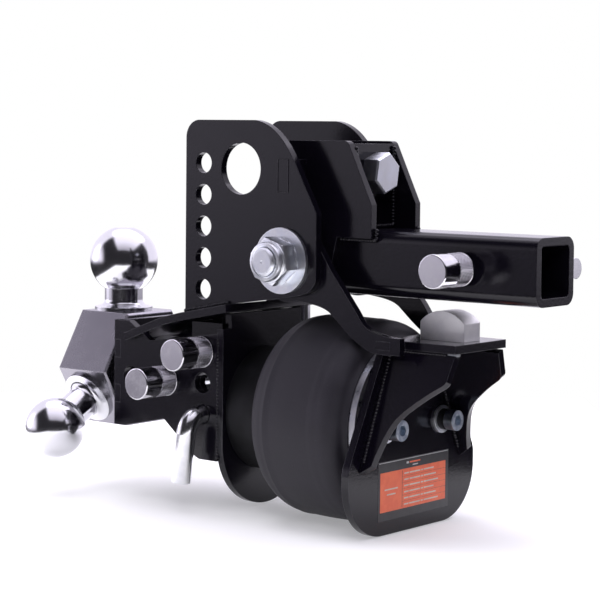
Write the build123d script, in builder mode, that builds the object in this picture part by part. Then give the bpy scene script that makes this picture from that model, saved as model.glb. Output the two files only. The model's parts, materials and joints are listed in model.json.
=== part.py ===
from build123d import *
import os

# Air-cushioned receiver hitch with a two-ball swivel block.
#
# Frame: the origin is the main pivot bolt's axis on the mid plane. +X runs along the
# shank towards the towing vehicle, +Z is up, -Y is the side with the nut. Units are mm.

os.makedirs("parts", exist_ok=True)

# ---- shared sizes ----
STEEL = 6.35                 # plate thickness used everywhere
SIDE_OUT = 54.0              # outer face of the ball-side plates, from the mid plane
SIDE_IN = SIDE_OUT - STEEL
PIN_R = 7.94                 # 5/8 in lock pins
PIN_HOLE_R = 8.35
PITCH = 25.4                 # height-adjustment hole pitch
COLUMN_X = -82.8             # column of height-adjustment holes
COLUMN_TOP = 74.6
BOLT_R = 11.11               # 7/8 in main pivot bolt
BOLT_HOLE_R = BOLT_R + 0.06
AXIS_Z = -104.2              # swivel block axis
BAG_Z = -125.5               # air bag axis

# ---- shank side ----
SHANK = 50.8
SHANK_WALL = 6.35
SHANK_START = -30.0
SHANK_END = 214.5
HITCH_PIN_X = 152.2
SLEEVE_R = 15.9
GUSSET_TOP = 93.5
STOP_BOLT_Z = 68.6
STOP_BOLT_R = 9.5
STOP_PLATE_X = 41.0
STOP_PLATE_FRONT = STOP_PLATE_X + STEEL
STOP_BOLT_END = 12.0

# ---- ball side ----
BAG_PLATE_X = -67.0
BAG_PLATE_FRONT = BAG_PLATE_X + STEEL
ROOF_OUT = 60.35
SIDE_RIGHT = 33.5
SIDE_TOP = 109.0
MOUNT_LEFT = -182.0
FRONT_PLATE_X = -181.5
FRONT_PLATE_BACK = FRONT_PLATE_X + STEEL
LEG_IN = SIDE_IN - STEEL
BLOCK_LEFT = -247.0
BLOCK_RIGHT = -192.0
BLOCK_APOTHEM = 48.0
BALL_X = -224.5
SHAFT_R = 24.0
SHAFT_END = -143.0
SWIVEL_PIN_X = -121.8

# ---- cushion side ----
ARM_OUT = 47.25
ARM_IN = ARM_OUT - STEEL
LABEL_FRONT = 89.0
LABEL_BACK = LABEL_FRONT - STEEL
PLATFORM_TOP = -56.8
PLATFORM_BOTTOM = PLATFORM_TOP - STEEL


def save(built, name):
    """Label one finished piece and write it to its own file."""
    built.part.label = name
    export_step(built.part, f"parts/{name}.step")


def side_plane(y):
    """Plane whose sketch x is +X and sketch y is +Z, looking along +Y."""
    return Plane(origin=(0, y, 0), x_dir=(1, 0, 0), z_dir=(0, -1, 0))


def end_plane(x):
    """Plane whose sketch x is +Y and sketch y is +Z, looking along -X."""
    return Plane(origin=(x, 0, 0), x_dir=(0, 1, 0), z_dir=(1, 0, 0))


# ================= shank side =================
with BuildPart() as shank:
    with BuildSketch(end_plane(SHANK_START)):
        RectangleRounded(SHANK, SHANK, 9)
        RectangleRounded(SHANK - 2 * SHANK_WALL, SHANK - 2 * SHANK_WALL, 3, mode=Mode.SUBTRACT)
    extrude(amount=SHANK_END - SHANK_START)
    with BuildSketch(side_plane(0)):
        with Locations((HITCH_PIN_X, 0)):
            Circle(PIN_HOLE_R)
        Circle(SLEEVE_R)
    extrude(amount=SHANK, both=True, mode=Mode.SUBTRACT)
save(shank, "shank")

with BuildPart() as sleeve:
    with BuildSketch(side_plane(-40.5)):
        Circle(SLEEVE_R - 0.02)
        Circle(BOLT_HOLE_R, mode=Mode.SUBTRACT)
    extrude(amount=-81.0)
save(sleeve, "pivot_sleeve")


def shank_gusset(y_start):
    """Upright plate on one flank of the shank, from the pivot up to the stop plate."""
    with BuildPart() as gusset:
        with BuildSketch(side_plane(y_start)):
            with BuildLine():
                Polyline((-5, GUSSET_TOP), (46, GUSSET_TOP), (69.5, 45), (69.5, 19), (36, 19), (30.8, -4))
                RadiusArc((30.8, -4), (-30.8, -4), 31.06)
                Polyline((-30.8, -4), (-30.8, GUSSET_TOP), (-5, GUSSET_TOP))
            make_face()
            Circle(SLEEVE_R, mode=Mode.SUBTRACT)
        extrude(amount=-STEEL)
        top_corner = gusset.edges().filter_by(Axis.Y).sort_by(Axis.Z)[-2:]
        fillet(top_corner, 5)
    return gusset


save(shank_gusset(-SHANK / 2 - STEEL), "shank_gusset_left")
save(shank_gusset(SHANK / 2), "shank_gusset_right")

with BuildPart() as stop_plate:
    with BuildSketch(end_plane(STOP_PLATE_X)):
        with Locations((0, (SHANK / 2 + GUSSET_TOP - 2) / 2)):
            Rectangle(SHANK, GUSSET_TOP - 2 - SHANK / 2)
        with Locations((0, STOP_BOLT_Z)):
            Circle(STOP_BOLT_R + 0.2, mode=Mode.SUBTRACT)
    extrude(amount=STEEL)
save(stop_plate, "stop_plate")

with BuildPart() as stop_bolt:
    with BuildSketch(end_plane(STOP_BOLT_END)):
        with Locations((0, STOP_BOLT_Z)):
            Circle(STOP_BOLT_R)
    extrude(amount=STOP_PLATE_FRONT - STOP_BOLT_END)
    chamfer(stop_bolt.faces().sort_by(Axis.X)[0].edges(), 1.5)
    with BuildSketch(end_plane(STOP_PLATE_FRONT)):
        with Locations((0, STOP_BOLT_Z)):
            RegularPolygon(14.3, 6, major_radius=False, rotation=20)
    extrude(amount=14)
    chamfer(stop_bolt.faces().sort_by(Axis.X)[-1].edges(), 1.2)
save(stop_bolt, "stop_bolt")

with BuildPart() as stop_washer:
    with BuildSketch(end_plane(STOP_PLATE_X - 3)):
        with Locations((0, STOP_BOLT_Z)):
            Circle(18.5)
            Circle(STOP_BOLT_R + 0.2, mode=Mode.SUBTRACT)
    extrude(amount=3)
save(stop_washer, "stop_bolt_washer")

with BuildPart() as stop_nut:
    with BuildSketch(end_plane(STOP_PLATE_X - 3 - 16)):
        with Locations((0, STOP_BOLT_Z)):
            RegularPolygon(14.3, 6, major_radius=False, rotation=30)
            Circle(STOP_BOLT_R + 0.02, mode=Mode.SUBTRACT)
    extrude(amount=16)
save(stop_nut, "stop_bolt_nut")


# ================= ball side =================
def side_plate(y_start):
    """Tall plate with the adjustment holes, the main pivot hole and the lightening hole."""
    with BuildPart() as plate:
        with BuildSketch(side_plane(y_start)):
            with BuildLine():
                Polyline((-102, -47), (-102, SIDE_TOP - 14))
                RadiusArc((-102, SIDE_TOP - 14), (-88, SIDE_TOP), 14)
                Polyline((-88, SIDE_TOP), (-28.5, SIDE_TOP))
                Spline((-28.5, SIDE_TOP), (-3, 96), (11, 77.5), tangents=((1, -0.15), (0.5, -0.87)))
                Polyline((11, 77.5), (SIDE_RIGHT, 37.5), (SIDE_RIGHT, -10))
                Spline((SIDE_RIGHT, -10), (26, -23), (9, -28), tangents=((0, -1), (-1, -0.14)))
                Polyline((9, -28), (-53.5, -37.3), (-102, -47))
            make_face()
            with Locations(*[(COLUMN_X, COLUMN_TOP - PITCH * n) for n in range(5)]):
                Circle(PIN_HOLE_R, mode=Mode.SUBTRACT)
            with Locations((-43.5, 70.7)):
                Circle(20.5, mode=Mode.SUBTRACT)
            with Locations((0, 66)):
                Rectangle(10.6, 25.6, mode=Mode.SUBTRACT)
            Circle(BOLT_HOLE_R, mode=Mode.SUBTRACT)
        extrude(amount=-STEEL)
    return plate


save(side_plate(-SIDE_OUT), "side_plate_left")
save(side_plate(SIDE_IN), "side_plate_right")

with BuildPart() as guide_lugs:
    for side in (-1, 1):
        with Locations((0, side * (32.3 + SIDE_OUT) / 2, 66)):
            Box(10.6, SIDE_OUT - 32.3, 25.6)
save(guide_lugs, "guide_lugs")

with BuildPart() as roof_plate:
    with BuildSketch(side_plane(-ROOF_OUT)):
        with BuildLine():
            Polyline((-53.5, -37.3), (-102, -47), (-120, -51.4))
            Spline((-120, -51.4), (-129, -54.4), (-144, -59.9), tangents=((-1, -0.26), (-1, -0.38)))
            Polyline((-144, -59.9), (-165.2, -67.95), (-162.9, -73.9), (-141.7, -65.85))
            Spline((-141.7, -65.85), (-127, -60.45), (-118.5, -57.55), tangents=((1, 0.38), (1, 0.26)))
            Polyline((-118.5, -57.55), (-100.6, -53.25), (-52.2, -43.55), (-53.5, -37.3))
        make_face()
    extrude(amount=-2 * ROOF_OUT)
    for side in (-1, 1):
        with Locations((-160, side * (SIDE_IN + SIDE_OUT) / 2, -66)):
            Box(30, STEEL + 0.8, 30, mode=Mode.SUBTRACT)
save(roof_plate, "roof_plate")

with BuildPart() as bag_plate:
    with BuildSketch(end_plane(BAG_PLATE_X)):
        with BuildLine():
            Polyline((-SIDE_OUT, -151), (-SIDE_OUT, -58), (-44, -58), (-44, -46.6), (44, -46.6))
            Polyline((44, -46.6), (44, -58), (SIDE_OUT, -58), (SIDE_OUT, -151))
            RadiusArc((SIDE_OUT, -151), (-SIDE_OUT, -151), SIDE_OUT + 0.001)
        make_face()
    extrude(amount=STEEL)
save(bag_plate, "bag_plate")


def channel_leg(y_start):
    """Upright behind the mount's side plate that takes the height-adjustment pins."""
    with BuildPart() as leg:
        with BuildSketch(side_plane(y_start)):
            with BuildLine():
                Polyline((BAG_PLATE_X, -54.5), (-100, -54.5), (-100, -150), (BAG_PLATE_X, -150), (BAG_PLATE_X, -54.5))
            make_face()
            with Locations(*[(COLUMN_X, COLUMN_TOP - PITCH * n) for n in (6, 7, 8)]):
                Circle(PIN_HOLE_R, mode=Mode.SUBTRACT)
        extrude(amount=-STEEL)
    return leg


save(channel_leg(-SIDE_IN), "channel_leg_left")
save(channel_leg(LEG_IN), "channel_leg_right")


def mount_plate(y_start):
    """Side plate of the ball mount, cut away under the roof plate and at the bottom."""
    with BuildPart() as plate:
        with BuildSketch(side_plane(y_start)):
            with BuildLine():
                Polyline((MOUNT_LEFT, -58.4), (-165.5, -58.4), (-141, -73), (BAG_PLATE_X, -62.3), (BAG_PLATE_X, -165.3))
                Polyline((BAG_PLATE_X, -165.3), (-84, -165.3))
                Spline((-84, -165.3), (-91, -163), (-97, -158.8), tangents=((-1, 0), (-1, 0.8)))
                Polyline((-97, -158.8), (-125, -136.5), (-170, -146.3), (MOUNT_LEFT, -146.3))
                Polyline((MOUNT_LEFT, -146.3), (MOUNT_LEFT, -58.4))
            make_face()
            with Locations(*[(COLUMN_X, COLUMN_TOP - PITCH * n) for n in (6, 7, 8)]):
                Circle(PIN_HOLE_R, mode=Mode.SUBTRACT)
            with Locations((SWIVEL_PIN_X, AXIS_Z), (-162.8, AXIS_Z)):
                Circle(PIN_HOLE_R, mode=Mode.SUBTRACT)
            with Locations((FRONT_PLATE_X + STEEL / 2, -82.3), (FRONT_PLATE_X + STEEL / 2, -120)):
                Rectangle(STEEL, 15, mode=Mode.SUBTRACT)
        extrude(amount=-STEEL)
    return plate


save(mount_plate(-SIDE_OUT), "mount_plate_left")
save(mount_plate(SIDE_IN), "mount_plate_right")

with BuildPart() as front_plate:
    with BuildSketch(end_plane(FRONT_PLATE_X)):
        with Locations((0, -102.3)):
            Rectangle(2 * SIDE_IN, 87)
        with Locations((0, -82.3), (0, -120)):
            Rectangle(2 * SIDE_OUT, 15)
        with Locations((0, AXIS_Z)):
            Circle(SHAFT_R + 5.02, mode=Mode.SUBTRACT)
    extrude(amount=STEEL)
save(front_plate, "front_plate")

with BuildPart() as swivel_bearing:
    with BuildSketch(end_plane(FRONT_PLATE_X)):
        with Locations((0, AXIS_Z)):
            Circle(SHAFT_R + 5)
            Circle(SHAFT_R + 0.08, mode=Mode.SUBTRACT)
    extrude(amount=38)
save(swivel_bearing, "swivel_bearing")

with BuildPart() as pivot_bolt:
    with BuildSketch(side_plane(-78.5)):
        Circle(BOLT_R)
    extrude(amount=-(78.5 + SIDE_OUT + 3))
    chamfer(pivot_bolt.faces().sort_by(Axis.Y)[0].edges(), 1.5)
    with BuildSketch(side_plane(SIDE_OUT + 3)):
        RegularPolygon(16.7, 6, major_radius=False)
    extrude(amount=-14)
    chamfer(pivot_bolt.faces().sort_by(Axis.Y)[-1].edges(), 1.4)
save(pivot_bolt, "pivot_bolt")

with BuildPart() as pivot_washers:
    with BuildSketch(side_plane(-SIDE_OUT - 3)):
        Circle(25.8)
        Circle(BOLT_R + 0.4, mode=Mode.SUBTRACT)
    extrude(amount=-3)
    with BuildSketch(side_plane(SIDE_OUT)):
        Circle(25.8)
        Circle(BOLT_R + 0.4, mode=Mode.SUBTRACT)
    extrude(amount=-3)
save(pivot_washers, "pivot_washers")

with BuildPart() as pivot_nut:
    with BuildSketch(side_plane(-SIDE_OUT - 3 - 19)):
        Circle(15)
        Circle(BOLT_R + 0.02, mode=Mode.SUBTRACT)
    extrude(amount=-5)
    with BuildSketch(side_plane(-SIDE_OUT - 3 - 14)):
        RegularPolygon(16.7, 6, major_radius=False)
        Circle(BOLT_R + 0.02, mode=Mode.SUBTRACT)
    extrude(amount=-14)
save(pivot_nut, "pivot_nut")


# ================= swivel block =================
BALLS = {
    "upper_ball": (0, 29.37, 91.2, 16.5, 25.0),
    "lower_ball": (-120, 25.4, 93.9, 14.6, 23.5),
}


def towing_ball(turn, radius, reach, neck, foot):
    """Ball flattened on top, on a flared neck that stands on one flat of the hexagon."""
    base = BLOCK_APOTHEM
    with BuildPart() as built:
        with BuildSketch(Plane.XZ):
            with BuildLine():
                Polyline((0, base), (foot, base), (foot, base + 3))
                Spline((foot, base + 3), (neck, base + 9), tangents=((-1, 0.3), (0, 1)))
                Polyline((neck, base + 9), (neck, reach), (0, reach), (0, base))
            make_face()
        revolve(axis=Axis.Z)
        with Locations((0, 0, reach)):
            Sphere(radius)
        with Locations((0, 0, reach + radius * 1.455)):
            Box(2 * radius, 2 * radius, radius, mode=Mode.SUBTRACT)
    placed = Pos(BALL_X, 0, AXIS_Z) * Rot(turn, 0, 0) * built.part
    with BuildPart() as finished:
        add(placed)
    return finished


for label, (turn, radius, reach, neck, foot) in BALLS.items():
    save(towing_ball(-turn, radius, reach, neck, foot), label)

with BuildPart() as block:
    with BuildSketch(end_plane(BLOCK_LEFT)):
        with Locations((0, AXIS_Z)):
            RegularPolygon(BLOCK_APOTHEM, 6, major_radius=False)
    extrude(amount=BLOCK_RIGHT - BLOCK_LEFT)
    chamfer(block.faces().sort_by(Axis.X)[-1].edges(), 1.5)
    with BuildSketch(end_plane(BLOCK_RIGHT)):
        with Locations((0, AXIS_Z)):
            Circle(36)
    extrude(amount=FRONT_PLATE_X - 0.5 - BLOCK_RIGHT)
    with BuildSketch(end_plane(BLOCK_RIGHT)):
        with Locations((0, AXIS_Z)):
            Circle(SHAFT_R)
    extrude(amount=SHAFT_END - BLOCK_RIGHT)
save(block, "swivel_block")

with BuildPart() as keeper:
    with BuildSketch(end_plane(SHAFT_END)):
        with Locations((0, AXIS_Z)):
            Circle(32)
    extrude(amount=4.5)
    with BuildSketch(end_plane(SHAFT_END + 4.5)):
        with Locations((0, AXIS_Z)):
            RegularPolygon(9.5, 6, major_radius=False)
    extrude(amount=4.5)
save(keeper, "swivel_keeper")


# ================= cushion side =================
def arm(y_start):
    """Curved arm from the main pivot down to the platform."""
    with BuildPart() as built:
        with BuildSketch(side_plane(y_start)):
            with BuildLine():
                Polyline((10, -31.2), (16, 0), (28.9, 14.5), (42.7, -5.7), (66.4, -34.8))
                Spline((66.4, -34.8), (75.5, -46.1), (91, -52), (109, -53.6), tangents=((0.63, -0.77), (1, -0.02)))
                Polyline((109, -53.6), (109, -66.6))
                Spline((109, -66.6), (81, -65.4), (66.8, -58), (48.6, -43.8), (10, -31.2),
                       tangents=((-1, 0.0), (-1, 0.1)))
            make_face()
            Circle(32.77)
            Circle(BOLT_HOLE_R, mode=Mode.SUBTRACT)
            with Locations((93.6, PLATFORM_TOP - STEEL / 2)):
                Rectangle(13, STEEL, mode=Mode.SUBTRACT)
        extrude(amount=-STEEL)
    return built


save(arm(-ARM_OUT), "arm_left")
save(arm(ARM_IN), "arm_right")

with BuildPart() as platform:
    with BuildSketch(Plane.XY.offset(PLATFORM_BOTTOM)):
        with Locations(((104 + 150.5) / 2, 0)):
            Rectangle(150.5 - 104, 67)
        with Locations(((LABEL_BACK + 104) / 2, 0)):
            Rectangle(104 - LABEL_BACK, 2 * ARM_IN)
        with Locations((93.6, 0)):
            Rectangle(13, 2 * ARM_OUT)
        with Locations((121.8, 0)):
            Circle(5.2, mode=Mode.SUBTRACT)
    extrude(amount=STEEL)
save(platform, "platform")

with BuildPart() as label_plate:
    with BuildSketch(end_plane(LABEL_BACK)):
        with BuildLine():
            Polyline((-38.9, PLATFORM_BOTTOM), (38.9, PLATFORM_BOTTOM), (82, -152), (82, -206))
            Polyline((82, -206), (-82, -206), (-82, -152), (-38.9, PLATFORM_BOTTOM))
        make_face()
        with Locations((36.4, -124.3), (-36.4, -124.3)):
            Circle(5.4, mode=Mode.SUBTRACT)
    extrude(amount=STEEL)
    low = label_plate.edges().filter_by(Axis.X).sort_by(Axis.Z)
    fillet(low[:2], 42)
    fillet(label_plate.edges().filter_by(Axis.X).filter_by(lambda e: abs(e.center().Z + 152) < 1), 18)
save(label_plate, "label_plate")


def splayed_gusset(side):
    """Curved gusset under the platform, leaning outwards towards its foot."""
    lean = Vector(0, side * 34, -84).normalized()
    origin = Vector(0, side * 28, PLATFORM_BOTTOM) + lean * 2.8
    down = 0.9269
    plane = Plane(origin=origin, x_dir=(1, 0, 0), z_dir=Vector(1, 0, 0).cross(lean))
    with BuildPart() as built:
        with BuildSketch(plane):
            with BuildLine():
                Polyline((LABEL_FRONT, 0), (149, 0), (147, 16 / down))
                Spline((147, 16 / down), (141, 24 / down), (122, 37.5 / down), (108, 52 / down),
                       (101, 70 / down), (98, 84 / down), tangents=((0, 1), (-0.15, 1)))
                Polyline((98, 84 / down), (LABEL_FRONT, 90 / down), (LABEL_FRONT, 0))
            make_face()
        extrude(amount=STEEL / 2, both=True)
    return built


save(splayed_gusset(-1), "gusset_left")
save(splayed_gusset(1), "gusset_right")

with BuildPart() as rocker:
    with BuildSketch(side_plane(-10.5)):
        with BuildLine():
            Polyline((101.6, -43), (101.6, PLATFORM_TOP), (142, PLATFORM_TOP), (142, -43))
            ThreePointArc((142, -43), (121.8, -34), (101.6, -43))
        make_face()
    extrude(amount=-21)
    with BuildSketch(Plane.XY.offset(PLATFORM_TOP)):
        with Locations((121.8, 0)):
            Circle(5.02)
    extrude(amount=12, mode=Mode.SUBTRACT)
save(rocker, "rocker_block")

with BuildPart() as rocker_screw:
    with BuildSketch(Plane.XY.offset(PLATFORM_BOTTOM - 6)):
        with Locations((121.8, 0)):
            RegularPolygon(8, 6, major_radius=False)
    extrude(amount=6)
    with BuildSketch(Plane.XY.offset(PLATFORM_BOTTOM)):
        with Locations((121.8, 0)):
            Circle(5)
    extrude(amount=STEEL + 11)
save(rocker_screw, "rocker_screw")

BAG_BOLTS = ((36.4, -124.3), (-36.4, -124.3))

with BuildPart() as bag_screws:
    with BuildSketch(end_plane(60)):
        with Locations(*BAG_BOLTS):
            Circle(5)
    extrude(amount=LABEL_FRONT + 7.6 - 60)
    with BuildSketch(end_plane(LABEL_FRONT + 7.6)):
        with Locations(*BAG_BOLTS):
            Circle(8)
    extrude(amount=8.4)
    with BuildSketch(end_plane(LABEL_FRONT + 11)):
        with Locations(*BAG_BOLTS):
            RegularPolygon(4, 6, major_radius=False)
    extrude(amount=5, mode=Mode.SUBTRACT)
save(bag_screws, "bag_screws")

with BuildPart() as bag_spacers:
    with BuildSketch(end_plane(LABEL_FRONT + 2)):
        with Locations(*BAG_BOLTS):
            Circle(8.2)
            Circle(5.2, mode=Mode.SUBTRACT)
    extrude(amount=5.6)
save(bag_spacers, "bag_spacers")

with BuildPart() as bag_washers:
    with BuildSketch(end_plane(LABEL_FRONT)):
        with Locations(*BAG_BOLTS):
            Circle(11)
            Circle(5.2, mode=Mode.SUBTRACT)
    extrude(amount=2)
save(bag_washers, "bag_washers")

# ================= air bag =================
BAG_R = 79.5
BAG_LEFT = -17.0
BEAD_X = LABEL_BACK - 7

with BuildPart() as bead_ring:
    with BuildSketch(end_plane(BEAD_X)):
        with Locations((0, BAG_Z)):
            Circle(67)
        with Locations(*BAG_BOLTS):
            Circle(5.02, mode=Mode.SUBTRACT)
    extrude(amount=7)
    fillet(bead_ring.faces().sort_by(Axis.X)[0].outer_wire().edges(), 2)
save(bead_ring, "bag_bead_plate")

with BuildPart() as bag_nuts:
    with BuildSketch(end_plane(BEAD_X - 8)):
        with Locations(*BAG_BOLTS):
            Circle(9)
            Circle(5.02, mode=Mode.SUBTRACT)
    extrude(amount=8)
save(bag_nuts, "bag_inserts")

with BuildPart() as bag:
    with BuildSketch(Plane.XZ):
        with BuildLine():
            Polyline((BEAD_X, 60), (BEAD_X, 65))
            Spline((BEAD_X, 65), (68, 74.5), (56, BAG_R), tangents=((-0.1, 1), (-1, 0)))
            Polyline((56, BAG_R), (2, BAG_R))
            ThreePointArc((2, BAG_R), (BAG_LEFT, BAG_R - 15), (-4, 51.2))
            Polyline((-4, 51.2), (10, 51.2), (10, 55), (-3, 56.5))
            ThreePointArc((-3, 56.5), (BAG_LEFT + 5, BAG_R - 15), (3, BAG_R - 5))
            Polyline((3, BAG_R - 5), (54, BAG_R - 5))
            Spline((54, BAG_R - 5), (65, 70.5), (70, 60), tangents=((1, 0), (0.2, -1)))
            Polyline((70, 60), (BEAD_X, 60))
        make_face()
    revolve(axis=Axis.X)
placed_bag = Pos(0, 0, BAG_Z) * bag.part
with BuildPart() as air_bag:
    add(placed_bag)
save(air_bag, "air_bag")

with BuildPart() as piston:
    with BuildSketch(end_plane(BAG_PLATE_FRONT)):
        with Locations((0, BAG_Z)):
            Circle(50.5)
    extrude(amount=10 - BAG_PLATE_FRONT)
    with BuildSketch(end_plane(BAG_PLATE_FRONT + 8)):
        with Locations((0, BAG_Z)):
            Circle(42)
    extrude(amount=10 - BAG_PLATE_FRONT - 12, mode=Mode.SUBTRACT)
save(piston, "bag_piston")


# ================= lock pins =================
ROD_BEND = 14.0
ARM_LEAN = 0.0
ARM_LENGTH = 40.0
HEAD_R = 12.7


def bent_pin(face, knob_side, x, z, tip_turn, slack):
    """Round pin through both plates, with a bent handle on the side away from its lock head.

    face is the outer plate face's distance, knob_side is -1 or 1, and tip_turn is the
    handle's direction about Y: 0 points up and 90 points along +X.
    """
    start = -(face + slack + 11)
    straight = face + 3
    with BuildPart() as built:
        with BuildLine(Plane.YZ) as path:
            Line((start, 0), (straight, 0))
            JernArc((straight, 0), (1, 0), ROD_BEND, 90 - ARM_LEAN)
            tail = path.line @ 1
            way = path.line % 1
            Line(tail, tail + way * ARM_LENGTH)
        with BuildSketch(Plane(origin=(0, start, 0), z_dir=(0, 1, 0))):
            Circle(PIN_R)
        sweep(path=path.line)
        chamfer(built.faces().sort_by(Axis.Y)[0].edges(), 1)
    flip = Rot(0, 0, 180) if knob_side > 0 else Rot(0, 0, 0)
    placed = Pos(x, 0, z) * Rot(0, tip_turn, 0) * flip * built.part
    with BuildPart() as finished:
        add(placed)
    return finished


def lock_head(face, knob_side, x, z, slack):
    """Barrel lock on the pin's end: knurled half at the plate, smooth half outside."""
    near = face + slack
    with BuildPart() as built:
        with BuildSketch(side_plane(-near)):
            Circle(HEAD_R)
        extrude(amount=17)
        with BuildSketch(side_plane(-near - 17)):
            Circle(HEAD_R - 0.8)
        extrude(amount=1.2)
        with BuildSketch(side_plane(-near - 18.2)):
            Circle(HEAD_R)
        extrude(amount=17.8)
        chamfer(built.faces().sort_by(Axis.Y)[0].edges(), 1)
        with BuildSketch(side_plane(-near)):
            Circle(PIN_R + 0.06)
        extrude(amount=12, mode=Mode.SUBTRACT)
    flip = Rot(0, 0, 180) if knob_side > 0 else Rot(0, 0, 0)
    placed = Pos(x, 0, z) * flip * built.part
    with BuildPart() as finished:
        add(placed)
    return finished


PINS = {
    "hitch": (SHANK / 2, -1, HITCH_PIN_X, 0, 90, 6.0),
    "upper": (SIDE_OUT, -1, COLUMN_X, COLUMN_TOP - 6 * PITCH, 0, 0.5),
    "swivel": (SIDE_OUT, -1, SWIVEL_PIN_X, AXIS_Z, -90, 0.5),
    "lower": (SIDE_OUT, 1, COLUMN_X, COLUMN_TOP - 8 * PITCH, 187.5, 0.5),
}

for label, (face, knob_side, x, z, tip_turn, slack) in PINS.items():
    save(bent_pin(face, knob_side, x, z, tip_turn, slack), f"{label}_pin")
    save(lock_head(face, knob_side, x, z, slack), f"{label}_pin_lock")
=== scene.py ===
import json
import math

import bmesh
import bpy
from mathutils import Matrix, Vector


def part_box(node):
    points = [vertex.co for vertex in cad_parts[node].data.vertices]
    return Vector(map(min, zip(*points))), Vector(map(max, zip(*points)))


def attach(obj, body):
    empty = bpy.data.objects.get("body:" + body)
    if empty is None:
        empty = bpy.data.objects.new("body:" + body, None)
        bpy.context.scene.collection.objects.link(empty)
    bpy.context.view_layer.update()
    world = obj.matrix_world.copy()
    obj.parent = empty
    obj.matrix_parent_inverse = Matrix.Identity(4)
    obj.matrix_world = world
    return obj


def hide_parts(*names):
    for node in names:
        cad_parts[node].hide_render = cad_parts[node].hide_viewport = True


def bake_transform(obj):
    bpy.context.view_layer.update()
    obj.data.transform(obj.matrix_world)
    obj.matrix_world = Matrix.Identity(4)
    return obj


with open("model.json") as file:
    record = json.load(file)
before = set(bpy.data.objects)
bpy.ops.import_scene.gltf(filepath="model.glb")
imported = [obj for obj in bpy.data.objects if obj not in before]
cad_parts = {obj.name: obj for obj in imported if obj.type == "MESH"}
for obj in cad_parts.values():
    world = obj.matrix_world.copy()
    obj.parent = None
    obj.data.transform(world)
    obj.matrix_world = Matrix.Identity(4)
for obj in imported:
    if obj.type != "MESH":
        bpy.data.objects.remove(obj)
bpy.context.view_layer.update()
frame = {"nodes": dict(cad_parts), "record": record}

MM = 0.001
MIX_INPUTS = (0, 6, 7)       # factor, first and second colour of a Mix node
MIX_OUTPUT = 2
BOTH = ((-1, "left"), (1, "right"))
bpy.ops.object.select_all(action="DESELECT")


# ---------------------------------------------------------------- shader maths
class Value:
    """One shader socket. Arithmetic on it adds Math nodes to its finish."""

    def __init__(self, sheet, socket):
        self.sheet = sheet
        self.socket = socket

    def math(self, operation, first, second=0.0):
        return self.sheet.node("ShaderNodeMath", {"operation": operation}, first, second)

    def __add__(self, other):
        return self.math("ADD", self, other)

    def __radd__(self, other):
        return self.math("ADD", other, self)

    def __sub__(self, other):
        return self.math("SUBTRACT", self, other)

    def __rsub__(self, other):
        return self.math("SUBTRACT", other, self)

    def __mul__(self, other):
        return self.math("MULTIPLY", self, other)

    def __rmul__(self, other):
        return self.math("MULTIPLY", other, self)

    def __truediv__(self, other):
        return self.math("DIVIDE", self, other)

    def size(self):
        return self.math("ABSOLUTE", self)

    def sine(self):
        return self.math("SINE", self)

    def ease(self, low, high):
        """0 below low, 1 above high, smooth between them."""
        return self.sheet.node("ShaderNodeMapRange", {"interpolation_type": "SMOOTHSTEP"}, self, low, high)


def opaque(value):
    """A colour given as three parts gets its fourth."""
    return (*value, 1) if isinstance(value, tuple) and len(value) == 3 else value


class Sheet:
    """A sheet of shader nodes."""

    def __init__(self, tree):
        self.nodes = tree.nodes
        self.links = tree.links

    def feed(self, socket, value):
        if isinstance(value, Value):
            self.links.new(value.socket, socket)
        else:
            socket.default_value = value

    def node(self, kind, settings=None, *values, out=0, **sockets):
        """One node: its settings, then its inputs in order or by name; hands back one output."""
        made = self.nodes.new(kind)
        for key, setting in (settings or {}).items():
            setattr(made, key, setting)
        for socket, value in zip(made.inputs, values):
            self.feed(socket, value)
        for key, value in sockets.items():
            self.feed(made.inputs[key.replace("_", " ")], value)
        return Value(self, made.outputs[out])

    def split(self, vector):
        """The three parts of a vector."""
        parts = self.node("ShaderNodeSeparateXYZ", None, vector).socket.node.outputs
        return [Value(self, part) for part in parts]

    def mix(self, factor, low, high):
        """Blend two colours."""
        made = self.nodes.new("ShaderNodeMix")
        made.data_type = "RGBA"
        for index, value in zip(MIX_INPUTS, (factor, low, high)):
            self.feed(made.inputs[index], opaque(value))
        return Value(self, made.outputs[MIX_OUTPUT])


class Finish(Sheet):
    """A material and its sheet of nodes."""

    def __init__(self, name):
        self.material = bpy.data.materials.new(name)
        self.material.use_nodes = True
        super().__init__(self.material.node_tree)
        self.surface = self.nodes["Principled BSDF"]

    def place(self):
        """Object coordinates, in metres."""
        return self.node("ShaderNodeTexCoord", out="Object")

    def axes(self):
        return self.split(self.place())

    def noise(self, scale, detail=3.0, rough=0.55, stretch=None):
        """Cloudy grain; stretch below 1 draws it out along that axis."""
        place = self.place()
        if stretch:
            place = self.node("ShaderNodeVectorMath", {"operation": "MULTIPLY"}, place, stretch)
        return self.node("ShaderNodeTexNoise", None, Vector=place, Scale=scale, Detail=detail,
                         Roughness=rough)

    def rounded(self, radius):
        """Normal with the edges eased over by a small radius."""
        return self.node("ShaderNodeBevel", {"samples": 4}, Radius=radius)

    def edge(self, radius):
        """1 close to an edge or corner, 0 on the flats."""
        eased = self.rounded(radius)
        flat = self.node("ShaderNodeNewGeometry", out="Normal")
        match = self.node("ShaderNodeVectorMath", {"operation": "DOT_PRODUCT"}, eased, flat, out="Value")
        return (1 - match).ease(0.02, 0.25)

    def bump(self, height, depth, normal=None):
        """Relief of that many metres."""
        extra = {"Normal": normal} if normal else {}
        return self.node("ShaderNodeBump", None, Strength=1.0, Distance=depth, Height=height, **extra)

    def paint(self, **sockets):
        """Set the surface's sockets; hands back the material."""
        for key, value in sockets.items():
            self.feed(self.surface.inputs[key.replace("_", " ")], opaque(value))
        return self.material


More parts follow.
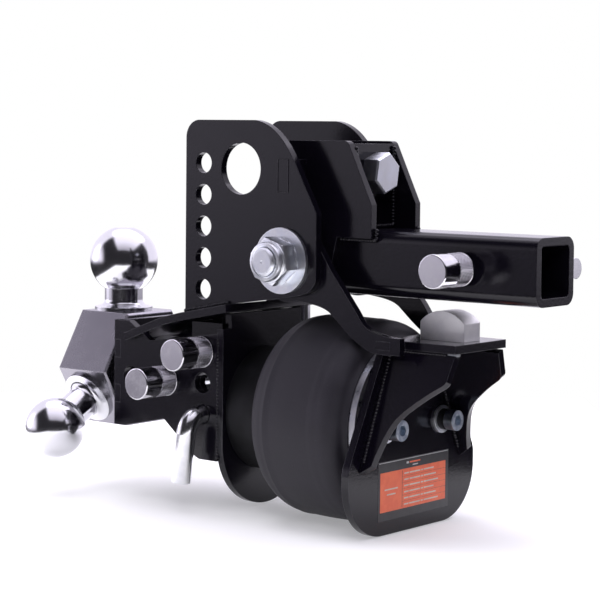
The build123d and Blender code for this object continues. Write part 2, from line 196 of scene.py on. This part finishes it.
def gloss_black_paint():
    """Powder coat: orange peel, faint dust, and a pale line along the edges that is partly thin, worn
    paint and partly a painted highlight.
    """
    f = Finish("gloss_black_paint")
    dust = f.noise(38, 5).ease(0.56, 0.8)
    peel = f.noise(520, 2)
    # Edge mask for a pale line: partly worn paint, partly a painted highlight where the rounded edges
    # would catch the light.
    wear_and_edge_highlight = f.edge(0.9 * MM) * (0.5 + f.noise(160, 3).ease(0.45, 0.6) * 0.5)
    colour = f.mix(dust * 0.4, (0.004, 0.0032, 0.0065), (0.008, 0.0068, 0.011))
    # Painted highlight mixed with wear: the edges are painted a pale grey.
    colour = f.mix(wear_and_edge_highlight * 0.5, colour, (0.14, 0.135, 0.155))
    return f.paint(Base_Color=colour, Roughness=0.13 + dust * 0.06 + f.noise(90, 4) * 0.06,
                   Specular_IOR_Level=0.34, Normal=f.bump(peel, 0.05 * MM, f.rounded(0.9 * MM)))


def zinc_plate():
    """Bright zinc: lightly mottled, with a faint blue cast and paler edges."""
    f = Finish("zinc_plate")
    cloud = f.noise(120, 4).ease(0.35, 0.65)
    scuff = f.noise(900, 4).ease(0.5, 0.7)
    colour = f.mix(cloud, (0.78, 0.81, 0.87), (0.85, 0.87, 0.9))
    colour = f.mix(f.edge(0.6 * MM) * 0.5, colour, (0.95, 0.95, 0.95))
    return f.paint(Base_Color=colour, Metallic=1.0, Roughness=0.33 + cloud * 0.06 + scuff * 0.05,
                   Normal=f.bump(scuff, 0.004 * MM, f.rounded(0.5 * MM)))


def cast_zinc():
    """Sawn and plated block: fine parallel marks."""
    f = Finish("cast_zinc")
    saw = f.noise(700, 2, stretch=(0.08, 1, 1))
    cloud = f.noise(60, 4).ease(0.3, 0.7)
    colour = f.mix(cloud, (0.76, 0.76, 0.77), (0.88, 0.88, 0.87))
    return f.paint(Base_Color=colour, Metallic=1.0, Roughness=0.34 + saw * 0.16,
                   Normal=f.bump(saw, 0.05 * MM, f.rounded(0.8 * MM)))


def screw_steel():
    """Bluish satin steel."""
    f = Finish("screw_steel")
    cloud = f.noise(260, 3).ease(0.35, 0.65)
    colour = f.mix(cloud, (0.36, 0.42, 0.5), (0.55, 0.6, 0.66))
    return f.paint(Base_Color=colour, Metallic=1.0, Roughness=0.28 + cloud * 0.1,
                   Normal=f.bump(f.noise(800, 2), 0.02 * MM, f.rounded(0.5 * MM)))


def plain_steel():
    """Turned steel: rings round the X axis."""
    f = Finish("plain_steel")
    cloud = f.noise(90, 4).ease(0.3, 0.7)
    rings = f.noise(1500, 1, stretch=(1, 0.05, 0.05))
    colour = f.mix(cloud, (0.3, 0.3, 0.31), (0.5, 0.5, 0.5))
    return f.paint(Base_Color=colour, Metallic=1.0, Roughness=0.3 + cloud * 0.15,
                   Normal=f.bump(rings, 0.02 * MM, f.rounded(0.5 * MM)))


def block_steel():
    """Machined block: satin grey flats with a faint grain."""
    f = Finish("block_steel")
    cloud = f.noise(20, 3).ease(0.3, 0.7)
    grain = f.noise(900, 2)
    edge = f.edge(1.2 * MM)
    colour = f.mix(cloud, (0.3, 0.29, 0.325), (0.33, 0.32, 0.35))
    colour = f.mix(edge * 0.6, colour, (0.8, 0.8, 0.8))
    return f.paint(Base_Color=colour, Metallic=1.0, Roughness=0.22 + cloud * 0.06 + grain * 0.05,
                   Normal=f.bump(grain, 0.01 * MM, f.rounded(1.0 * MM)))


def chrome():
    """Polished plate with hairline scratches."""
    f = Finish("chrome")
    hair = f.noise(600, 5, stretch=(1, 1, 0.1)).ease(0.62, 0.7)
    film = f.noise(30, 3).ease(0.4, 0.7)
    return f.paint(Base_Color=f.mix(film, (0.7, 0.7, 0.73), (0.75, 0.75, 0.77)), Metallic=1.0,
                   Roughness=0.15 + film * 0.05 + hair * 0.08,
                   Normal=f.bump(hair, 0.004 * MM, f.rounded(0.4 * MM)))


def pin_chrome():
    """Bright drawn bar with faint marks along it."""
    f = Finish("pin_chrome")
    cloud = f.noise(70, 4).ease(0.4, 0.7)
    draw = f.noise(500, 3, stretch=(1, 0.08, 1))
    return f.paint(Base_Color=f.mix(cloud, (0.7, 0.71, 0.73), (0.84, 0.84, 0.85)), Metallic=1.0,
                   Roughness=0.13 + cloud * 0.08, Normal=f.bump(draw, 0.01 * MM, f.rounded(0.5 * MM)))


def lock_chrome():
    """Smooth plate on the lock barrels and their end faces."""
    f = Finish("lock_chrome")
    cloud = f.noise(150, 3).ease(0.4, 0.7)
    return f.paint(Base_Color=f.mix(cloud, (0.72, 0.71, 0.75), (0.76, 0.755, 0.78)), Metallic=1.0,
                   Roughness=0.12 + cloud * 0.06,
                   Normal=f.bump(f.noise(300, 2), 0.003 * MM, f.rounded(0.4 * MM)))


def knurl_chrome():
    """The same plate on the knurl: duller, and darker all over as painted shade for its grooves."""
    f = Finish("knurl_chrome")
    cloud = f.noise(60, 3).ease(0.4, 0.7)
    # Base colour much darker than the barrel's plate: painted shade standing in for the shade in the
    # knurl's grooves.
    return f.paint(Base_Color=f.mix(cloud, (0.32, 0.31, 0.34), (0.4, 0.395, 0.42)), Metallic=1.0,
                   Roughness=0.2 + cloud * 0.08, Normal=f.bump(cloud, 0.004 * MM))


def bead_steel():
    """Dull pressed steel of the bag's metal end."""
    f = Finish("bead_steel")
    cloud = f.noise(120, 3).ease(0.35, 0.65)
    return f.paint(Base_Color=f.mix(cloud, (0.3, 0.31, 0.34), (0.42, 0.42, 0.44)), Metallic=1.0,
                   Roughness=0.26 + cloud * 0.14, Normal=f.bump(cloud, 0.02 * MM, f.rounded(0.6 * MM)))


def black_plastic():
    """Moulded plastic: near black, matt, finely grained."""
    f = Finish("black_plastic")
    grain = f.noise(900, 2)
    cloud = f.noise(50, 3).ease(0.4, 0.7)
    return f.paint(Base_Color=f.mix(cloud, (0.004, 0.004, 0.005), (0.009, 0.009, 0.011)),
                   Specular_IOR_Level=0.2, Roughness=0.5 + grain * 0.12,
                   Normal=f.bump(grain, 0.03 * MM, f.rounded(0.6 * MM)))


def bag_rubber():
    """Moulded rubber: matt, with bloom, fine pitting and faint cords under the skin."""
    f = Finish("bag_rubber")
    x = f.axes()[0]
    bloom = f.noise(26, 5).ease(0.42, 0.7)
    pits = f.noise(700, 3)
    cords = ((x * 2600).sine() * 0.5 + 0.5) * f.noise(14, 2).ease(0.4, 0.6)
    colour = f.mix(bloom, (0.015, 0.0135, 0.019), (0.024, 0.022, 0.029))
    colour = f.mix(f.noise(330, 2).ease(0.7, 0.78) * 0.15, colour, (0.08, 0.08, 0.08))
    return f.paint(Base_Color=colour, Roughness=0.56 + bloom * 0.12 + pits * 0.08,
                   Specular_IOR_Level=0.4, Normal=f.bump(pits + cords * 0.35, 0.06 * MM))


MAKERS = [gloss_black_paint, zinc_plate, cast_zinc, screw_steel, plain_steel, block_steel, chrome,
          pin_chrome, lock_chrome, knurl_chrome, bead_steel, black_plastic, bag_rubber]
FINISHES = {make.__name__: make() for make in MAKERS}

for part in frame["record"]["subparts"]:
    cad = frame["nodes"][part["node"]]
    finish = FINISHES[part["material_slot"]]
    if not cad.material_slots:
        cad.data.materials.append(finish)
    for place in cad.material_slots:
        place.material = finish


# ---------------------------------------------------------------- making pieces
KINDS = {"faces": "FACE", "edges": "EDGE"}


def free_hands():
    """Nothing selected, object mode."""
    if bpy.context.object and bpy.context.object.mode != "OBJECT":
        bpy.ops.object.mode_set(mode="OBJECT")
    bpy.ops.object.select_all(action="DESELECT")


def pick(kind, test):
    """Select the faces or edges of the open mesh that pass a test of place or normal."""
    bpy.ops.mesh.select_mode(type=KINDS[kind])
    bpy.ops.mesh.select_all(action="DESELECT")
    mesh = bmesh.from_edit_mesh(bpy.context.object.data)
    for element in getattr(mesh, kind):
        if test(element):
            element.select_set(True)
    bmesh.update_edit_mesh(bpy.context.object.data)


def lathe(profile, steps=64):
    """Turn a profile of (radius, height) about Z, in mm."""
    free_hands()
    bpy.ops.mesh.primitive_plane_add(size=MM)
    bpy.ops.object.mode_set(mode="EDIT")
    bpy.ops.mesh.select_mode(type="VERT")
    bpy.ops.mesh.select_all(action="SELECT")
    bpy.ops.mesh.merge(type="CENTER")
    bpy.ops.mesh.select_all(action="SELECT")
    bpy.ops.transform.translate(value=(profile[0][0] * MM, 0, profile[0][1] * MM))
    for (r0, z0), (r1, z1) in zip(profile, profile[1:]):
        step = ((r1 - r0) * MM, 0, (z1 - z0) * MM)
        bpy.ops.mesh.extrude_region_move(TRANSFORM_OT_translate={"value": step})
    bpy.ops.mesh.select_all(action="SELECT")
    bpy.ops.mesh.spin(steps=steps, angle=2 * math.pi, center=(0, 0, 0), axis=(0, 0, 1))
    bpy.ops.mesh.select_all(action="SELECT")
    bpy.ops.mesh.remove_doubles(threshold=0.002 * MM)
    bpy.ops.mesh.normals_make_consistent(inside=False)
    bpy.ops.object.mode_set(mode="OBJECT")
    return bpy.context.object


def prism(sides, radius, low, high, turn=0.0):
    """Solid prism about Z from low to high, in mm; turn in degrees."""
    free_hands()
    bpy.ops.mesh.primitive_cylinder_add(vertices=sides, radius=radius * MM, depth=(high - low) * MM,
                                        location=(0, 0, (low + high) / 2 * MM),
                                        rotation=(0, 0, math.radians(turn)))
    settle_mesh()
    return bpy.context.object


def settle_mesh():
    """Put an object's place, turn and size into its mesh."""
    bpy.ops.object.transform_apply(location=True, rotation=True, scale=True)


def join(first, *others):
    """Several objects as one."""
    free_hands()
    for piece in (first, *others):
        piece.select_set(True)
    bpy.context.view_layer.objects.active = first
    bpy.ops.object.join()
    return first


def point(piece, direction, place):
    """Turn a piece made along +Z to another direction and set it at a place, in mm."""
    free_hands()
    piece.select_set(True)
    bpy.context.view_layer.objects.active = piece
    turn = Vector((0, 0, 1)).rotation_difference(Vector(direction)).to_matrix().to_4x4()
    piece.matrix_world = Matrix.Translation(Vector(place) * MM) @ turn
    settle_mesh()
    return piece


def hand_over(piece, name, body, slot, replaced=(), angle=35):
    """Name, finish and body of a piece that is done, and the CAD nodes it stands for."""
    free_hands()
    piece.select_set(True)
    bpy.context.view_layer.objects.active = piece
    bpy.ops.object.shade_smooth_by_angle(angle=math.radians(angle))
    piece.name = name
    piece.data.name = name
    if not piece.data.materials:
        piece.data.materials.append(FINISHES[slot])
    if body:
        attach(piece, body)
    if replaced:
        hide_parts(*replaced)
    return piece


# ---------------------------------------------------------------- lock heads
LOCK_R = 12.7
SLEEVE = 17                  # length of the knurled sleeve
KNURL_ROUND = 36             # diamonds round the sleeve
KNURL_ROWS = 9
KNURL_DEPTH = 0.6


def knurled_sleeve():
    """Sleeve with a raised diamond knurl, standing on z = 0, in mm."""
    free_hands()
    bpy.ops.mesh.primitive_cylinder_add(vertices=KNURL_ROUND, radius=(LOCK_R - KNURL_DEPTH) * MM,
                                        depth=SLEEVE * MM, location=(0, 0, SLEEVE / 2 * MM))
    settle_mesh()
    bpy.ops.object.mode_set(mode="EDIT")
    pick("edges", lambda e: abs(e.verts[0].co.z - e.verts[1].co.z) > SLEEVE / 2 * MM)
    bpy.ops.mesh.subdivide(number_cuts=KNURL_ROWS - 1)
    pick("faces", lambda f: abs(f.normal.z) < 0.5)
    grid = len(bmesh.from_edit_mesh(bpy.context.object.data).verts)
    bpy.ops.mesh.poke(offset=0.02 * MM)
    bmesh.from_edit_mesh(bpy.context.object.data).verts.index_update()
    low, high = 0.3 * MM, (SLEEVE - 0.3) * MM

    def old_line(e):
        """An edge of the first square grid, away from the sleeve's ends."""
        middle = (e.verts[0].co.z + e.verts[1].co.z) / 2
        return e.verts[0].index < grid and e.verts[1].index < grid and low < middle < high

    pick("edges", old_line)
    bpy.ops.mesh.dissolve_edges(use_verts=False)
    pick("faces", lambda f: abs(f.normal.z) < 0.5 and len(f.verts) == 4)
    bpy.ops.mesh.poke(offset=KNURL_DEPTH * MM)
    bpy.ops.object.mode_set(mode="OBJECT")
    return bpy.context.object


def lock_head(label, place, side, body):
    """Knurled sleeve next to the plate, a thin ring, and a smooth barrel with a flat end."""
    sleeve = knurled_sleeve()
    sleeve.data.materials.append(FINISHES["knurl_chrome"])
    barrel = lathe([(0, 16), (LOCK_R - 1.6, 16), (LOCK_R - 1.0, 17), (LOCK_R - 1.0, 18),
                    (LOCK_R - 0.25, 18.2), (LOCK_R, 18.6), (LOCK_R, 35.2), (LOCK_R - 0.3, 35.7),
                    (LOCK_R - 0.8, 36), (0, 36)], 72)
    ring = lathe([(LOCK_R - 1.0, 0), (LOCK_R - 0.1, 0), (LOCK_R, 0.3), (LOCK_R, 1.2),
                  (LOCK_R - 0.5, 1.5)])
    for smooth in (barrel, ring):
        smooth.data.materials.append(FINISHES["lock_chrome"])
    head = join(sleeve, barrel, ring)
    point(head, (0, side, 0), place)
    hand_over(head, label + "_lock_head", body, "lock_chrome", (label + "_pin_lock",), 28)


def lock_heads():
    for label in ("hitch", "upper", "swivel", "lower"):
        low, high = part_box(label + "_pin_lock")
        middle = (low + high) / 2 / MM
        side = -1 if middle.y < 0 else 1
        inner = (high.y if side < 0 else low.y) / MM
        lock_head(label, (middle.x, inner, middle.z), side, label + "_lock_body")


# ---------------------------------------------------------------- main pivot
BOLT_R = 11.11
NUT_CORNER_R = 19.28
NUT_HEIGHT = 14
NUT_TURN = 12                # degrees


def bolt_thread(radius, low, high, pitch):
    """Thread as stacked ridges, with a chamfered end and a centre mark."""
    profile = [(0, low), (radius - 1.0, low)]
    z = low + 0.4
    while z + pitch < high - 1.6:
        profile += [(radius - 1.1, z), (radius - 0.1, z + pitch * 0.38),
                    (radius - 0.1, z + pitch * 0.6)]
        z += pitch
    profile += [(radius - 1.0, z), (radius - 0.9, high - 1.4), (radius - 2.4, high), (1.2, high),
                (0.7, high - 0.5), (0, high - 0.7)]
    return lathe(profile, 56)


def pivot_end():
    """Locking nut with its collar, and the bolt's threaded end, on the near side."""
    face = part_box("pivot_nut")[1].y / MM
    hexagon = prism(6, NUT_CORNER_R, 0, NUT_HEIGHT, NUT_TURN)
    bpy.ops.object.mode_set(mode="EDIT")
    pick("edges", lambda e: abs(e.verts[0].co.z - e.verts[1].co.z) < 0.1 * MM)
    bpy.ops.mesh.bevel(offset=0.9 * MM, segments=2)
    bpy.ops.object.mode_set(mode="OBJECT")
    collar = lathe([(11.3, 13.5), (17.0, 13.5), (16.6, 14.6), (15.6, 15.4), (15.3, 17.4),
                    (14.6, 18.7), (12.6, 19), (11.4, 18.4), (11.3, 13.5)], 72)
    flange = lathe([(11.5, 0), (18.2, 0), (18.0, 0.8), (16.4, 1.4), (11.5, 1.4), (11.5, 0)], 72)
    nut = join(hexagon, collar, flange)
    point(nut, (0, -1, 0), (0, face, 0))
    hand_over(nut, "pivot_lock_nut", "ball_side", "zinc_plate", ("pivot_nut",), 30)
    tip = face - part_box("pivot_bolt")[0].y / MM + 0.3
    end = bolt_thread(BOLT_R, 12, tip, 1.8)
    point(end, (0, -1, 0), (0, face, 0))
    hand_over(end, "pivot_bolt_end", "ball_side", "zinc_plate", (), 30)


# ---------------------------------------------------------------- air bag
BEAD_R = 69.4                # where the bag leaves its metal end
SHOULDER = 14.5              # length of the rounded shoulder
WALL = 4.5
LOBE = 14                    # half the thickness of the rolled lobe
LOBE_REACH = 17.8
FOOT_R = 51.2                # where the bag grips the piston


def air_bag():
    """Rolling-lobe bag turned about its own axis, with a moulding line at each shoulder."""
    low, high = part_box("air_bag")
    axis_z = (low.z + high.z) / 2 / MM
    left, right = low.x / MM, high.x / MM
    radius = (high.y - low.y) / 2 / MM - 0.7
    profile = [(60.5, right), (65.5, right), (66.3, right - 0.8), (66.6, right - 3.0),
               (BEAD_R, right - 5.0)]
    for n in range(9):
        part = n / 8
        turn = math.pi / 2 * part
        profile.append((BEAD_R + (radius - BEAD_R) * math.sin(turn),
                        right - 5.0 - SHOULDER * (1 - math.cos(turn)) - 1.2 * part))
    shoulder = profile[-1][1]
    waist = left + 19
    for n in range(1, 20):
        along = n / 20
        swell = 0.7 * math.sin(math.pi * along)
        ridge = 0.35 if n in (2, 19) else 0.0
        profile.append((radius + swell + ridge, shoulder + (waist - shoulder) * along))
    profile += [(radius + 0.5, waist + 0.9), (radius + 0.5, waist + 0.1), (radius, waist - 0.6)]
    for n in range(1, 17):
        turn = math.pi * n / 16
        profile.append((radius - LOBE + LOBE * math.cos(turn),
                        waist - 0.6 - LOBE_REACH * math.sin(turn)))
    profile += [(FOOT_R, 10), (54.5, 10), (56, waist), (62, left + 6), (70, left + 7),
                (radius - WALL, waist), (radius - WALL, shoulder), (66, right - 6), (60.5, right - 4),
                (60.5, right)]
    bag = lathe(profile, 120)
    point(bag, (1, 0, 0), (0, 0, axis_z))
    hand_over(bag, "rubber_air_bag", None, "bag_rubber", ("air_bag",), 50)
    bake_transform(bag)


# ---------------------------------------------------------------- data plate
def sticker_finish(name, low, high, rough):
    """Printed film: an even colour with a slight cloud and ripple."""
    f = Finish(name)
    cloud = f.noise(130, 4).ease(0.35, 0.65)
    return f.paint(Base_Color=f.mix(cloud, low, high), Roughness=rough + f.noise(300, 2) * 0.1,
                   Normal=f.bump(f.noise(260, 2), 0.01 * MM))


def slab(low, high, finish):
    """Thin block between two corners, in mm, with softened edges."""
    free_hands()
    low, high = Vector(low) * MM, Vector(high) * MM
    bpy.ops.mesh.primitive_cube_add(size=1, location=(low + high) / 2, scale=high - low)
    settle_mesh()
    bpy.ops.object.mode_set(mode="EDIT")
    bpy.ops.mesh.select_all(action="SELECT")
    bpy.ops.mesh.bevel(offset=min(high - low) * 0.2, segments=1)
    bpy.ops.object.mode_set(mode="OBJECT")
    bpy.context.object.data.materials.append(finish)
    return bpy.context.object


def data_plate():
    """Plain printed film on the broad plate: dark field, orange panel, generic bars for lines of print."""
    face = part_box("label_plate")[1].x / MM
    dark = sticker_finish("film_dark", (0.012, 0.012, 0.014), (0.02, 0.02, 0.022), 0.26)
    orange = sticker_finish("film_orange", (0.8, 0.13, 0.045), (0.86, 0.16, 0.055), 0.32)
    pale = sticker_finish("film_pale", (0.62, 0.5, 0.42), (0.7, 0.58, 0.5), 0.4)
    white = sticker_finish("film_white", (0.5, 0.5, 0.5), (0.6, 0.6, 0.6), 0.4)

    def bar(y0, y1, z0, z1, lift, finish):
        return slab((face, y0, z0), (face + lift, y1, z1), finish)

    parts = [bar(-45, 47, -195, -149.5, 0.16, dark), bar(-42.5, 43, -188.5, -158, 0.22, orange),
             bar(-44, 46, -150.7, -150.2, 0.2, white), bar(-5, 9, -154.2, -153, 0.2, orange),
             bar(-9, -6, -154.4, -152.8, 0.2, white), bar(-1, 6, -156.4, -155.6, 0.2, white),
             bar(-14.6, -14.2, -187.5, -159, 0.25, dark)]
    for row in range(6):
        z = -161 - row * 4.8
        for start, end in ((-12, -6), (-5, 9), (10, 13), (14, 27 + row % 3 * 3)):
            parts.append(bar(start, end, z - 1.1, z, 0.26, pale))
        if row:
            parts.append(bar(-14.4, 43, z + 1.9, z + 2.05, 0.25, dark))
    for row, width in enumerate((17, 11)):
        z = -170.9 - row * 4
        parts.append(bar(-28.5 - width / 2, -28.5 + width / 2, -172 - row * 4, z, 0.26, pale))
    hand_over(join(*parts), "data_film", "cushion_side", "black_plastic")


# ---------------------------------------------------------------- welds and seams
class Chance:
    """Small repeatable shuffle for hand-made irregularity."""

    MODULUS = 2147483647
    MULTIPLIER = 16807

    def __init__(self, start):
        self.state = start

    def draw(self):
        """Next number, from -0.5 to 0.5."""
        self.state = (self.state * self.MULTIPLIER) % self.MODULUS
        return self.state / self.MODULUS - 0.5


BEAD = {"segments": 10, "ring_count": 6}
BEAD_PITCH = 2.6


def weld(name, body, runs, radius):
    """Overlapping beads laid along straight runs, each (start, end) in mm."""
    chance = Chance(4711 + len(name))
    free_hands()
    bpy.ops.mesh.primitive_uv_sphere_add(**BEAD, radius=radius * MM,
                                         location=Vector(runs[0][0]) * MM)
    settle_mesh()
    bpy.ops.object.mode_set(mode="EDIT")
    for start, end in runs:
        start, end = Vector(start), Vector(end)
        count = max(2, int((end - start).length / BEAD_PITCH))
        turn = Vector((0, 0, 1)).rotation_difference(end - start).to_euler()
        for n in range(count + 1):
            size = 1 + chance.draw() * 0.16
            stray = Vector((chance.draw(), chance.draw(), chance.draw())) * 0.35
            place = start.lerp(end, n / count) + stray
            bpy.ops.mesh.primitive_uv_sphere_add(**BEAD, radius=radius * size * MM,
                                                 location=place * MM, rotation=turn,
                                                 scale=(1, 1, 0.8))
    bpy.ops.object.mode_set(mode="OBJECT")
    hand_over(bpy.context.object, name, body, "gloss_black_paint", (), 60)


def welds():
    """Beads where the plates meet, on both sides of the mid plane; y is given outwards."""
    shank, ball, cushion = [], [], []
    for s, _ in BOTH:
        shank += [((37, s * 27.2, 17.8), (69, s * 27.2, 17.8)),
                  ((70.6, s * 27, 19), (70.6, s * 27, 25)),
                  ((48.4, s * 24.2, 28), (48.4, s * 24.2, 88))]
        ball += [((-100, s * 55.2, -45.4), (-55, s * 55.2, -36.4)),
                 ((-66.6, s * 52.9, -162), (-66.6, s * 52.9, -66))]
        cushion += [((90.2, s * 31.5, -64), (90.2, s * 64.6, -146)),
                    ((90.2, s * 24.2, -66), (90.2, s * 58, -148)),
                    ((92, s * 31.2, -64.2), (140, s * 31.2, -64.2))]
    shank += [((48.6, -23, 26.8), (48.6, 23, 26.8))]
    cushion += [((90.2, -23, -64.6), (90.2, 23, -64.6))]
    weld("shank_welds", "shank_side", shank, 2.1)
    weld("ball_side_welds", "ball_side", ball, 1.8)
    weld("cushion_side_welds", "cushion_side", cushion, 1.9)


def seam_frame(name, body, corners, radius):
    """Fine raised line round a tab let into a plate."""
    parts = []
    for start, end in zip(corners, corners[1:] + corners[:1]):
        start, end = Vector(start), Vector(end)
        line = prism(8, radius, 0, (end - start).length)
        parts.append(point(line, (end - start).normalized(), start))
    hand_over(join(*parts), name, body, "gloss_black_paint", (), 60)


def seams():
    """The guide blocks in the tall plates, and the platform's tabs in the arms."""
    for s, side in BOTH:
        for name, body, node, (x0, x1, z0, z1), radius in (
                ("lug_seam_", "ball_side", "guide_lugs", (-5.3, 5.3, 53.2, 78.8), 0.45),
                ("platform_tab_seam_", "cushion_side", "arm_right", (87.1, 100.1, -63.15, -56.8), 0.3)):
            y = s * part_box(node)[1].y / MM
            seam_frame(name + side, body, [(x0, y, z0), (x1, y, z0), (x1, y, z1), (x0, y, z1)], radius)


lock_heads()
pivot_end()
air_bag()
data_plate()
welds()
seams()


# ---------------------------------------------------------------- studio
VIEW_AZIMUTH = 39.29
TABLE = (0.78, 1.25, 1)      # across and along the view
FRONT = (0.633, -0.774)      # towards the camera, level
RIGHT = (0.774, 0.633)


def studio():
    """A finite white table top in a dim room, with a big window overhead and another at the left."""
    floor_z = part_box("bag_plate")[0].z - 2 * MM
    free_hands()
    bpy.ops.mesh.primitive_plane_add(size=1)
    floor = bpy.context.object
    floor.name = "studio_floor"
    bpy.ops.object.mode_set(mode="EDIT")
    bpy.ops.transform.resize(value=TABLE)
    bpy.ops.transform.translate(value=(-0.08, 0.07, floor_z))
    bpy.ops.transform.rotate(value=math.radians(-VIEW_AZIMUTH), orient_axis="Z",
                             center_override=(0, 0, 0))
    bpy.ops.object.mode_set(mode="OBJECT")
    f = Finish("studio_floor")
    x, y = f.axes()[:2]
    # Painted glow: the table emits light of its own, dimmer round the object and brighter towards its
    # edges so they fade into the white backdrop.
    painted_glow_outwards = (x * x + y * y).ease(0.02, 0.12)
    f.paint(Base_Color=f.mix(f.noise(3, 2), (0.72, 0.72, 0.72), (0.75, 0.75, 0.75)), Roughness=0.9,
            Specular_IOR_Level=0.0, Emission_Color=f.mix(painted_glow_outwards, (0.3, 0.3, 0.31), (0.75, 0.75, 0.75)),
            Emission_Strength=1.0)
    floor.data.materials.append(f.material)
    world = bpy.data.worlds.new("studio")
    world.use_nodes = True
    sheet = Sheet(world.node_tree)
    x, y, z = sheet.split(sheet.node("ShaderNodeTexCoord", out="Generated"))
    front = x * FRONT[0] + y * FRONT[1]
    right = x * RIGHT[0] + y * RIGHT[1]
    backdrop = (front * -1.0).ease(0.06, 0.22) * (z + 0.13).ease(0.0, 0.11) * 1.1
    along = front / (z.size() + 0.05)
    across = right / (z.size() + 0.05)
    window = z.ease(0.2, 0.5) * (1.3 - along).ease(0.0, 0.12) * (along + 0.9).ease(0.0, 0.15)
    window = window * (1.0 - across).ease(0.0, 0.12) * (across + 0.5).ease(0.0, 0.12)
    window = window * (0.5 + (1.3 - along).ease(0.0, 1.3) * 0.9)
    left_wall = (right * -0.985 - front * 0.17).ease(0.8, 0.98)
    left_wall = left_wall * (z + 0.2).ease(0.0, 0.22) * 1.35
    light = 0.028 + backdrop + window + left_wall
    dim = sheet.node("ShaderNodeCombineXYZ", None, light, light * 0.95, light * 1.1)
    seen = sheet.node("ShaderNodeLightPath", out="Is Camera Ray")
    background = world.node_tree.nodes["Background"]
    sheet.feed(background.inputs["Color"], sheet.mix(seen, dim, (1.0, 1.0, 1.0)))
    bpy.context.scene.world = world


def softbox(name, place, width, height, power):
    """Area light aimed at the origin, not itself mirrored in bright metal."""
    bpy.ops.object.light_add(type="AREA", location=place)
    lamp = bpy.context.object
    lamp.name = name
    lamp.data.shape = "RECTANGLE"
    lamp.data.size = width
    lamp.data.size_y = height
    lamp.data.energy = power
    lamp.visible_glossy = False
    lamp.rotation_euler = (-Vector(place)).to_track_quat("-Z", "Y").to_euler()


def camera():
    """Long lens from the near right, a little above the pivot."""
    azimuth = math.radians(VIEW_AZIMUTH)
    elevation = math.radians(3.09)
    target = Vector((-26.65, 0, 16.76)) * MM
    back = Vector((math.sin(azimuth) * math.cos(elevation), -math.cos(azimuth) * math.cos(elevation),
                   math.sin(elevation)))
    bpy.ops.object.camera_add(location=target + back * 1587.63 * MM)
    eye = bpy.context.object
    turn = (-back).to_track_quat("-Z", "Y").to_matrix() @ Matrix.Rotation(0.01, 3, "Z")
    eye.rotation_euler = turn.to_euler()
    eye.data.sensor_width = 36
    eye.data.lens = 118.06
    eye.data.shift_y = -0.108
    eye.data.clip_start = 0.05
    eye.data.clip_end = 60
    bpy.context.scene.camera = eye


studio()
softbox("key_softbox", (1.2, -1.5, 1.3), 0.8, 1.0, 9)
softbox("top_softbox", (-0.2, -0.2, 1.6), 1.0, 1.0, 9)
softbox("left_softbox", (-1.6, -0.9, 0.5), 0.6, 1.0, 3)
camera()
bpy.context.scene.view_settings.view_transform = "Standard"
